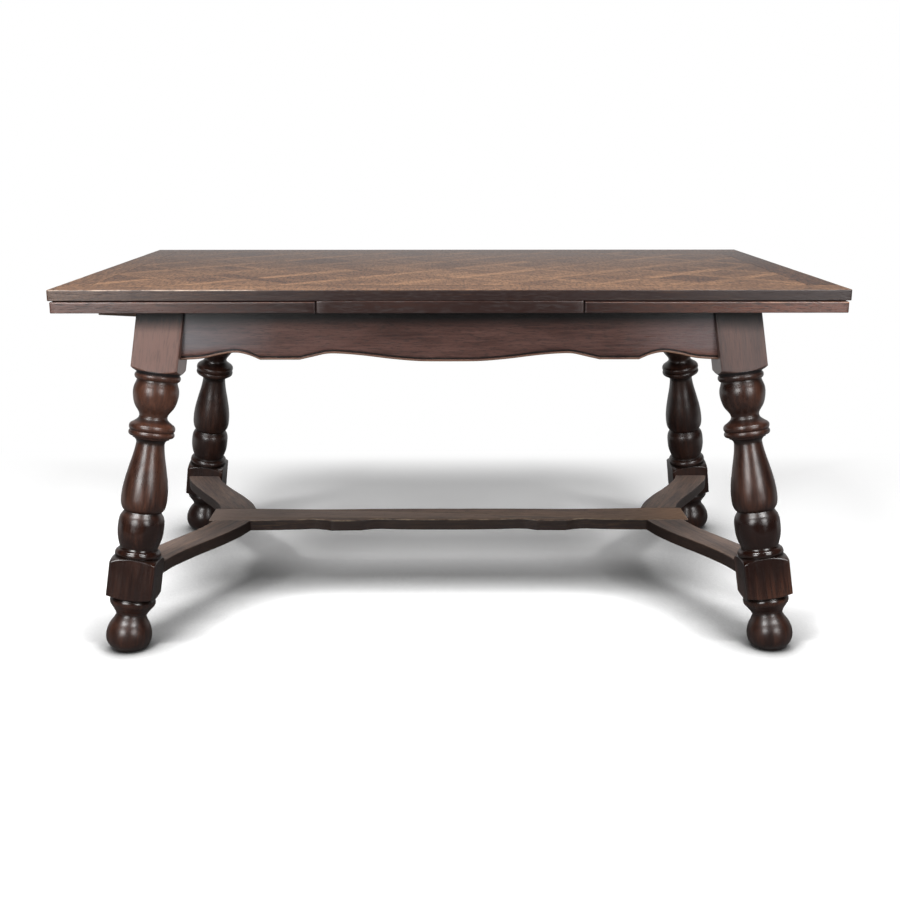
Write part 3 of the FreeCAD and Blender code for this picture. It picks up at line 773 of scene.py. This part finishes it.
def parquet_panel(node, body, finish):
    """The woven field: every block its own island, with a fine open joint round it."""
    low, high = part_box(node)
    points = []
    faces = []
    layers = {"grain": [], "tone": [], "dirt_and_shade": []}

    def put(places, along, shift, tone, dirt_and_shade):
        points.extend(places)
        layers["grain"].extend(grain_places(places, along, shift))
        layers["tone"].extend([tone] * len(places))
        layers["dirt_and_shade"].extend([dirt_and_shade] * len(places))

    for polygon, along, kind in weave_blocks(low, high):
        middle = sum(polygon, Vector((0, 0, 0))) / len(polygon)
        tone = block_tone(kind, middle)
        shift = draws.uniform(1.0, 30.0)
        normals = outward_normals(polygon)
        lift = draws.uniform(0.0, block_unevenness)
        # Rings of a block: (inset, depth below the panel's top, dirt in the joint)
        rings = (
            (0.0, joint_depth, 1.0), (joint_width, lift, 0.4),
            (joint_width * joint_slope, lift, 0.0))
        first = len(points)
        for inset, sink, dirt_and_shade in rings:
            places = [
                Vector((p.x - n.x * inset, p.y - n.y * inset, high.z - sink))
                for p, n in zip(polygon, normals)]
            put(places, along, shift, tone, dirt_and_shade)
        rows = index_rows(first, len(points), len(polygon))
        faces.extend(between_rows(rows) + [tuple(rows[-1])])

    corners = ((low.x, low.y), (high.x, low.y), (high.x, high.y), (low.x, high.y))
    first = len(points)
    for z in (low.z, high.z - joint_depth):
        put([Vector((x, y, z)) for x, y in corners], long_way, 2.0, 0.4, 0.0)
    rows = index_rows(first, len(points), len(corners))
    faces.extend(between_rows(rows) + [tuple(reversed(rows[0]))])
    finished_piece(node, finish, points, faces, layers, body)


# Turned legs

def leg_matrix(side_x, side_y):
    """From a leg's own axis to where it stands, leaning in to the frame."""
    foot = Vector((side_x * (leg_top_x + leg_rake), side_y * (leg_top_y + leg_rake), 0))
    lean = Vector((-side_x * leg_rake, -side_y * leg_rake, frame_top))
    turn = upward.rotation_difference(lean)
    return Matrix.Translation(foot) @ turn.to_matrix().to_4x4(), lean.length


def leg_profile(stretch):
    """The turned outline as (radius, height) points from the foot to the top."""
    runs = []
    points = []
    for kind, shares in leg_turning:
        points = points[-1:] + [Vector((r * half_stock, z * stretch, 0)) for r, z in shares]
        if kind == "curve":
            runs.append(smooth_line(points, turning_step))
        elif kind == "round":
            runs.append(arc_line(points, ring_step))
        else:
            upright = abs(points[0].x - points[-1].x) <= upright_run
            runs.append(straight_line(points, block_step if upright else fillet_step))
    return joined(runs)


def quarter_angles():
    """Angles round a quarter of the leg, closer together at the block's corner."""
    half = (0.0, 6.0, 12.0, 18.0, 24.0, 29.0, 33.5, 37.0, 39.8, 42.0, 43.5, 44.4, 45.0)
    return [math.radians(a) for a in half] + [math.radians(90 - a) for a in reversed(half[1:-1])]


def soft_least(a, b, softness):
    """The smaller of two lengths, eased where they meet."""
    gap = max(softness - abs(a - b), 0.0) / softness
    return min(a, b) - gap * gap * softness / 4


def profile_values(profile):
    """At each height of the outline, how far it stands proud of its neighbours and how far back."""
    values = []
    for p in profile:
        near = [q.x for q in profile if abs(q.y - p.y) < neighbour_reach]
        mean = sum(near) / len(near)
        on_block = p.x > half_stock * block_from
        proud = 0.0 if on_block else part_way(p.x - mean, 0.0, proud_full)
        values.append((p.y, proud, part_way(mean - p.x, 0.0, behind_full)))
    return values


def read_table(rows, at):
    """The values beside a number in a table of rows (number, values), between its nearest two."""
    for low, high in zip(rows, rows[1:]):
        if low[0] <= at <= high[0]:
            share = (at - low[0]) / max(high[0] - low[0], 1e-9)
            return [a + (b - a) * share for a, b in zip(low[1:], high[1:])]
    return rows[0 if at < rows[0][0] else -1][1:]


def leg_tone(share, side_x, side_y):
    """How light a leg is at a share of its height: dark low down, lightest at the top, partly the
    wood's tone and partly a painted sheen on the upper block. The back legs are painted darker all
    over, a painted shade.
    """
    # Painted shade: the back legs are painted darker all over
    if side_y > 0:
        return 0.12
    block, square, darker = (0.85, 0.06, 0.0) if side_x < 0 else (0.55, 0.3, 0.08)
    top_from, top_full = top_block_shares
    tones = ((0.0, 0.15), (0.12, 0.2), (0.16, square), (0.37, 0.12), (0.42, 0.28),
             (top_from, 0.35), (top_full, block), (1.0, block))
    return read_table(tones, share)[0] - darker * (share <= 0.8)


def leg_skin(profile, matrix, shift):
    """The skin of a leg where it stands: turned, squared at its blocks, with small nicks."""
    angles = [a + math.radians(90) * q for q in range(4) for a in quarter_angles()]
    points = []
    for p in profile:
        for a in angles:
            ahead, aside = math.cos(a), math.sin(a)
            flat = half_stock / max(abs(ahead), abs(aside))
            reach = soft_least(min(p.x, half_stock * corner_share), flat, corner_softness)
            nick = Vector((ahead * nick_turn, aside * nick_turn, p.y * nick_rise + shift))
            reach -= nick_depth * max(noise.noise(nick), 0.0)
            points.append(matrix @ Vector((ahead * reach, aside * reach, p.y)))
    return points, between_rows(index_rows(0, len(points), len(angles)))


def turned_leg(node, side_x, side_y, finish):
    """One splayed leg, turned between two square blocks, with softened corners."""
    matrix, stretch = leg_matrix(side_x, side_y)
    profile = leg_profile(stretch)
    shift = draws.uniform(1.0, 9.0)
    floor_and_top = ((Vector(), -upward), (upward * frame_top, upward))
    points, faces = cut_solid(*leg_skin(profile, matrix, shift), floor_and_top)
    values = profile_values(profile)
    inverse = matrix.inverted()
    corner_from = half_stock * corner_wear_share
    is_front = side_y < 0
    layers = {"grain": [], "tone": [], "wear": [], "dirt_and_shade": [], "dull": [], "painted_sheen": []}
    for p in points:
        own = inverse @ p
        proud, behind = read_table(values, own.z)
        corner = part_way(math.hypot(own.x, own.y), corner_from, corner_from + corner_wear_band)
        share = own.z / stretch
        on_top_block = part_way(share, *top_block_shares)
        low_down = part_way(abs(share - low_block_share), *low_block_reach) * is_front
        # Painted sheen: a pale haze on the front legs' upper blocks, fading out toward the leaves
        sheen = block_sheen * on_top_block * is_front
        sheen_down = part_way(p.z, frame_top, frame_top - block_sheen_fade)
        layers["grain"].append((own.z + shift, own.x + side_shift * shift, own.y))
        layers["tone"].append(leg_tone(share, side_x, side_y))
        layers["dull"].append(on_top_block - 0.6 * low_down)
        layers["painted_sheen"].append(sheen * sheen_down)
        layers["wear"].append(max(proud * 0.5, corner * (0.5 + 0.25 * (share < 0.5))))
        # Painted shade on the blocks' tops under the leaves, and darker where the turning lies back
        layers["dirt_and_shade"].append(max(behind, part_way(p.z, block_shade_from, shade_line)))
    finished_piece(node, finish, points, faces, layers, crisp=50.0)


def leg_face(side_x, side_y, inward):
    """The plane just off the face of a leg's blocks that looks inward, as (place, outward)."""
    matrix = leg_matrix(side_x, side_y)[0]
    normal = (matrix.to_3x3() @ inward).normalized()
    return matrix.translation + normal * (half_stock + seat_gap), -normal


# Aprons and end rails

def edge_run(points, step):
    """A smooth curve through several points, or a straight run between two."""
    return smooth_line(points, step) if len(points) > 2 else straight_line(points, flat_step)


def serpentine_line(length):
    """The lower edge from left to right as points (x, z above the rail's bottom)."""
    right = joined([
        edge_run([Vector((x * length, z * rail_drop, 0)) for x, z in shares], serpentine_step)
        for shares in (belly_shares, flat_shares, end_crest_shares)])
    left = [Vector((-p.x, p.y, 0)) for p in reversed(right[1:])]
    return left + right


def rail_columns(length, notches):
    """Places along a rail, each with the height of its lower edge and whether it has a notch."""
    columns = []
    line = serpentine_line(length)
    walls = sorted(
        edge for middle in notches for edge in (middle - rail_notch_half, middle + rail_notch_half))
    for start, end in zip(line, line[1:]):
        inside = any(abs(start.x - middle) < rail_notch_half for middle in notches)
        columns.append((start.x, start.y, inside))
        for wall in walls:
            if start.x < wall <= end.x:
                share = (wall - start.x) / (end.x - start.x)
                low = start.y + (end.y - start.y) * share
                opens = any(
                    abs(wall + rail_notch_half - middle) < mesh_touch for middle in notches)
                columns.append((wall, low, not opens))
                columns.append((wall, low, opens))
    columns.append((line[-1].x, line[-1].y, False))
    return columns


def apron_painted_sheen(p):
    """The painted sheen on an apron: a pale haze toward its ends, most at the left."""
    toward_end = part_way(abs(p.x), *apron_sheen_x)
    below_top = part_way(p.z, frame_top, frame_top - apron_sheen_fade)
    above_bead = part_way(p.z, *apron_sheen_z)
    strength = apron_sheen_left if p.x < 0 else apron_sheen_right
    return strength * toward_end * below_top * above_bead


def rail_ring(base, is_notch):
    """A section round a rail: (depth behind the face, height, wear, dirt and painted shade) at its
    corners. The face is painted darker toward its top, a painted shade under the leaves.
    """
    tilt = notch_slope * rail_thickness / 2
    floor_front = rail_notch_floor + tilt
    floor_back = rail_notch_floor - tilt
    ring = [(rail_thickness, base, 0.0, 0.0)]
    ring += [(depth, base + up, wear, dirt_and_shade) for depth, up, wear, dirt_and_shade in bead_section]
    last = base + bead_section[-1][1]
    # Painted shade: the face darkens toward its top, under the overhang of the leaves
    for k in range(1, rail_rows + 1):
        level = last + (floor_front - last) * k / rail_rows
        ring.append((0.0, level, 0.0, shade_start * (k == rail_rows)))
    if is_notch:
        ring += [(0.0, floor_front, 0.0, shade_start)] * 2
        ring.append((rail_thickness, floor_back, 0.0, 0.5))
    else:
        ring += [(0.0, shade_line, 0.0, shade_deep), (0.0, frame_top, 0.0, 1.0)]
        ring.append((rail_thickness, frame_top, 0.0, 0.5))
    ring.append((rail_thickness, floor_back, 0.0, 0.0))
    return ring


def moulded_rail(node, side_x, side_y, finish, notches=()):
    """Apron or end rail with its serpentine edge and bead, cut to the faces of its two legs."""
    length, face, along = (
        (rail_half, rail_face_x, cross_way) if side_x else (apron_half, apron_face_y, long_way))
    columns = rail_columns(length, notches)
    corners = []
    for place, low, is_notch in columns:
        for depth, z, wear, dirt_and_shade in rail_ring(rail_bottom + low, is_notch):
            out = face - depth
            point = (side_x * out - side_y * place, side_y * out + side_x * place, z)
            corners.append((point, wear, dirt_and_shade))
    points, *values = zip(*corners)
    faces = between_rows(index_rows(0, len(points), len(points) // len(columns)))
    planes = [leg_face(side_x or side, side_y or side, along * -side) for side in sides]
    points, faces, wear, dirt_and_shade = cut_solid(points, faces, planes, values)
    through = along.cross(upward)
    shift = draws.uniform(1.0, 9.0)
    tone = board_tone(0.05)
    layers = {
        "grain": [
            (p.dot(along) + shift, p.z + side_shift * shift, p.dot(through)) for p in points],
        # Painted sheen: lighter toward the right end, and a pale haze toward both ends
        "tone": [tone + 0.42 * part_way(p.x, *apron_pale_sheen_x) for p in points],
        "wear": wear,
        "dirt_and_shade": dirt_and_shade,
        "painted_sheen": [apron_painted_sheen(p) for p in points]}
    finished_piece(node, finish, points, faces, layers)


# Stretcher

def edge_line(shares, side_y):
    """Points along one stretch of the right half of the middle board's edge."""
    points = [
        Vector((x * stretcher_half, side_y * y * stretcher_end_width, 0)) for x, y in shares]
    return edge_run(points, middle_edge_step)


def stretcher_middle(finish):
    """The long middle board of the stretcher."""
    front = [
        edge_line(shares, -1)
        for shares in (front_belly_shares, front_flat_shares, front_crest_shares)]
    back = edge_line(back_edge_shares, 1)
    back.reverse()
    corners = [Vector((stretcher_half, side * stretcher_end_y, 0)) for side in sides]
    end = straight_line([front[-1][-1], *corners, back[0]], end_step)
    right = joined([*front, end, back])
    outline = right + [Vector((-p.x, p.y, 0)) for p in reversed(right[1:-1])]
    points, faces, wear, rise = eased_board(
        outline, [0.8] * len(outline), stretcher_under, stretcher_top, stretcher_ease)
    layers = {
        "grain": grain_places(points, long_way, 3.1),
        # Painted sheen: lighter toward both ends, and a pale haze on the left end's top
        "tone": [0.4 + 0.5 * part_way(abs(p.x), *middle_pale_sheen_x) for p in points],
        "painted_sheen": [0.35 * part_way(-p.x, *middle_sheen_x) * up for p, up in zip(points, rise)],
        "wear": wear,
        "dirt_and_shade": [0.9 * (1 - up) for up in rise]}
    finished_piece("stretcher_centre", finish, points, faces, layers)


def stretcher_arm(node, side_x, side_y, finish):
    """One ogee arm, cut to the face of its leg."""
    root = stretcher_end_y + seat_gap

    def edge(shares, root_x):
        points = [
            Vector((side_x * (stretcher_half + x * leg_stock), side_y * y * leg_top_y, 0))
            for x, y in shares]
        points[0] = Vector((side_x * root_x, side_y * root, 0))
        return smooth_line(points, arm_edge_step)

    outer = edge(arm_outer_shares, arm_outer_x)
    inner = edge(arm_inner_shares, arm_inner_x)
    far = straight_line([outer[-1], inner[-1]], end_step)[1:-1]
    near = straight_line([inner[0], outer[0]], end_step)[1:-1]
    outline = outer + far + list(reversed(inner)) + near
    if signed_area(outline) < 0:
        outline.reverse()
    points, faces, wear, rise = eased_board(
        outline, [0.6] * len(outline), stretcher_under, stretcher_top, stretcher_ease)
    planes = [leg_face(side_x, side_y, cross_way * -side_y)]
    points, faces, wear, rise = cut_solid(points, faces, planes, (wear, rise))
    along = outer[-1] + inner[-1] - outer[0] - inner[0]
    layers = {
        "grain": grain_places(points, along, draws.uniform(1.0, 9.0)),
        "tone": [board_tone(0.1)] * len(points),
        # Painted sheen: a pale haze on the arm's top
        "painted_sheen": [0.24 * up for up in rise],
        "wear": wear,
        "dirt_and_shade": [0.96 * (1 - up) for up in rise]}
    finished_piece(node, finish, points, faces, layers)


# The room

def make_camera():
    """The photograph's own viewpoint."""
    lens = bpy.data.cameras.new("camera")
    lens.sensor_width = sensor_width
    lens.lens = focal_pixels * sensor_width / picture_pixels
    camera = new_object("camera", lens)
    camera.location = camera_place
    camera.rotation_euler = camera_heading.to_track_quat("-Z", "Y").to_euler()
    bpy.context.scene.camera = camera


def seen_directly(wire):
    """One for rays from the eye, from a gloss or through glass, nought for light on its way."""
    seen = wire.node("LightPath", {}, {}, "Is Camera Ray")
    for name in ("Is Glossy Ray", "Is Transmission Ray"):
        seen = seen.most(wire.node("LightPath", {}, {}, name))
    return seen


def paper_floor():
    """White paper under the table: pure white away from its shadow, with a painted contact shadow
    close under it.
    """
    near, far, side = -2.1, 14.0, 12.0
    corners = [(-side, near, 0), (side, near, 0), (side, far, 0), (-side, far, 0)]
    mesh = bpy.data.meshes.new("paper_floor")
    mesh.from_pydata(corners, [], [(0, 1, 2, 3)])
    finish = bpy.data.materials.new("white_paper")
    finish.use_nodes = True
    finish.node_tree.nodes.clear()
    wire = Wire(finish.node_tree)
    place = own_place(wire)
    eye = wire.node("LightPath", {}, {}, "Is Camera Ray")
    # Painted shadow: ambient occlusion darkens the floor's colour for the eye, under the stretcher
    # and round the feet
    outside_painted_shadow = wire.node("AmbientOcclusion", {"samples": 8}, {"Distance": 0.22}, 1).power(2.5)
    tint = seen_directly(wire).into(grey(0.1), grey(0.15))
    tint = eye.into(tint, outside_painted_shadow.into(grey(0.0), grey(1.14)))
    matt = wire.node("BsdfDiffuse", {}, {"Color": tint})
    glow = wire.node("Emission", {}, {"Color": grey(1.0), "Strength": 1.0})
    away = wire.node("VectorMath", {"operation": "LENGTH"}, {0: place}, 1).ramp(1.3, 2.1)
    away = away.most(place.y_part().ramp(0.88, 1.34))
    in_gloss = (1.0 - eye) * place.y_part().ramp(-0.8, 0.8) * seen_directly(wire)
    share = (away * 0.98 + 0.02) * (eye + in_gloss)
    close_nodes(wire, "Material", wire.node("MixShader", {}, {0: share, 1: matt, 2: glow}))
    mesh.materials.append(finish)
    floor = new_object("paper_floor", mesh)


def soft_box(name, place, aim, width, height, power):
    """A soft rectangular studio lamp."""
    lamp = bpy.data.lights.new(name, "AREA")
    lamp.shape = "RECTANGLE"
    lamp.size = width
    lamp.size_y = height
    lamp.energy = power
    box = new_object(name, lamp)
    box.location = place
    box.rotation_euler = (Vector(aim) - Vector(place)).to_track_quat("-Z", "Y").to_euler()


def light_room():
    """The lamps, and a surround that is white behind the table and dark before it."""
    for lamp in lamps:
        soft_box(*lamp)
    world = bpy.data.worlds.new("studio")
    bpy.context.scene.world = world
    world.use_nodes = True
    world.node_tree.nodes.clear()
    wire = Wire(world.node_tree)
    heading = wire.node("TexCoord", {}, {}, 0)
    backdrop = heading.y_part().ramp(0.3, 0.9)
    eye = wire.node("LightPath", {}, {}, "Is Camera Ray")
    seen = seen_directly(wire)
    strength = eye.most(seen * (0.05 + backdrop * 0.95) + (1.0 - seen) * 0.04)
    glow = wire.node("Background", {}, {"Color": grey(1.0), "Strength": strength})
    close_nodes(wire, "World", glow)
    bpy.context.scene.view_settings.view_transform = "Standard"


# Everything together

def finish_inside(names, finish):
    """Puts a finish on solids whose shape is already right."""
    for name in names:
        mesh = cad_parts[name].data
        mesh.materials.clear()
        mesh.materials.append(finish)


def build():
    inside = {
        "dark": (0.045, 0.024, 0.015), "light": (0.16, 0.092, 0.055), "worn": (0.3, 0.2, 0.14),
        "grime_and_shade": (0.02, 0.01, 0.01), "gloss": 0.6, "own_grain": False}
    top_oak = oak(
        "top_oak", dark=(0.075, 0.032, 0.017), light=(0.34, 0.18, 0.092),
        worn=(0.42, 0.32, 0.25), grime_and_shade=(0.013, 0.005, 0.004), gloss=0.29, veil=(0.85, 0.46),
        streak=0.8, ticks=0.7, tick_size=(60.0, 270.0, 270.0), back_shade=0.7, ripple=1.0)
    edge_oak = oak(
        "edge_oak", dark=(0.026, 0.01, 0.007), light=(0.145, 0.06, 0.04),
        worn=(0.32, 0.17, 0.1), grime_and_shade=(0.013, 0.005, 0.004), gloss=0.26,
        streak=1.1, ticks=0.9, tick_size=(50.0, 270.0, 270.0))
    frame_oak = oak(
        "frame_oak", dark=(0.028, 0.011, 0.009), light=(0.15, 0.074, 0.06),
        worn=(0.24, 0.13, 0.08), grime_and_shade=(0.005, 0.003, 0.003), gloss=0.3,
        streak=0.8, ticks=0.5, tick_size=(60.0, 400.0, 400.0))
    leg_oak = oak(
        "leg_oak", dark=(0.009, 0.003, 0.002), light=(0.18, 0.07, 0.04),
        worn=(0.28, 0.15, 0.08), grime_and_shade=(0.006, 0.002, 0.001), gloss=0.29, veil=(0.45, 0.45),
        streak=0.36, ticks=0.35, tick_size=(30.0, 300.0, 300.0), relief=0.12)
    stretcher_oak = oak(
        "stretcher_oak", dark=(0.04, 0.018, 0.01), light=(0.29, 0.165, 0.097),
        worn=(0.3, 0.22, 0.15), grime_and_shade=(0.012, 0.005, 0.003), gloss=0.36, veil=(0.65, 0.65),
        streak=0.9)
    inside_long = oak("inside_oak_long", **inside)
    inside_cross = oak("inside_oak_cross", turn=(12.0, 0.07, 1.0), **inside)
    steel = brushed_steel()

    parquet_panel("top_parquet_panel", "top", top_oak)
    # Borders of the top: place, run of the grain, tone and edge darkness. The front edge's lighter
    # left end is a painted sheen
    borders = (
        ("front", long_way, 0.5, (0.65, 0.97, 0.3)), ("back", long_way, 0.45, (0.85, 0.85, 1.0)),
        ("left", cross_way, 0.4, (0.8, 0.85, 1.0)), ("right", cross_way, 0.15, (0.8, 0.85, 1.0)))
    for place, along, tone, edge_dark in borders:
        dressed_board(
            "top_border_" + place, "top", top_oak, along, tone, edge_dark,
            rubbing=(0.85, 0.4, -0.3), reach=half_length)
    # Leaves: side, word, edge darkness of the front border, rubbing and the notches' place in the
    # rail. A front edge lighter at its outer end is a painted sheen
    leaves = (
        (-1, "left", (0.3, 0.97, 0.9), (0.55, 0.45, 0.0), left_notch_y),
        (1, "right", (0.9, 0.1, 1.0), (0.4, 0.8, 0.5), right_notch_y))
    for side_x, word, front_edge_dark, rubbing, notch in leaves:
        body = word + "_leaf"
        parquet_panel("leaf_%s_panel" % word, body, top_oak)
        for place in ("front", "back", "inner", "outer"):
            along = long_way if place in ("front", "back") else cross_way
            edge_dark = front_edge_dark if place == "front" else (0.5, 0.5, 1.0)
            dressed_board(
                "leaf_%s_border_%s" % (word, place), body, edge_oak, along, 0.6, edge_dark,
                rubbing, leaf_reach)
        moulded_rail("end_rail_" + word, side_x, 0, frame_oak, notches=(-notch, notch))
    dressed_board(
        "centre_board", "frame", edge_oak, long_way, 0.25, (0.8, 0.8, 1.0),
        rubbing=(0.3, 0.3, 0.0), reach=half_length)
    for side_y, word in ((-1, "front"), (1, "back")):
        moulded_rail("apron_" + word, 0, side_y, frame_oak)
        for side_x, other in ((-1, "left"), (1, "right")):
            corner = "%s_%s" % (word, other)
            turned_leg("leg_" + corner, side_x, side_y, leg_oak)
            stretcher_arm("stretcher_arm_" + corner, side_x, side_y, stretcher_oak)
    stretcher_middle(stretcher_oak)

    finish_inside(
        ("loper_left_front", "loper_left_back", "loper_right_front", "loper_right_back"),
        inside_long)
    finish_inside(
        ("guide_rail", "guide_rail_dowels", "stretcher_root_dowels", "stretcher_leg_dowels",
         "loper_stop_pins_left", "loper_stop_pins_right", "guide_pegs", "stretcher_draw_pegs"),
        inside_cross)
    finish_inside(("centre_board_screws", "loper_screws_left", "loper_screws_right"), steel)


make_camera()
paper_floor()
light_room()
build()
bpy.context.view_layer.update()
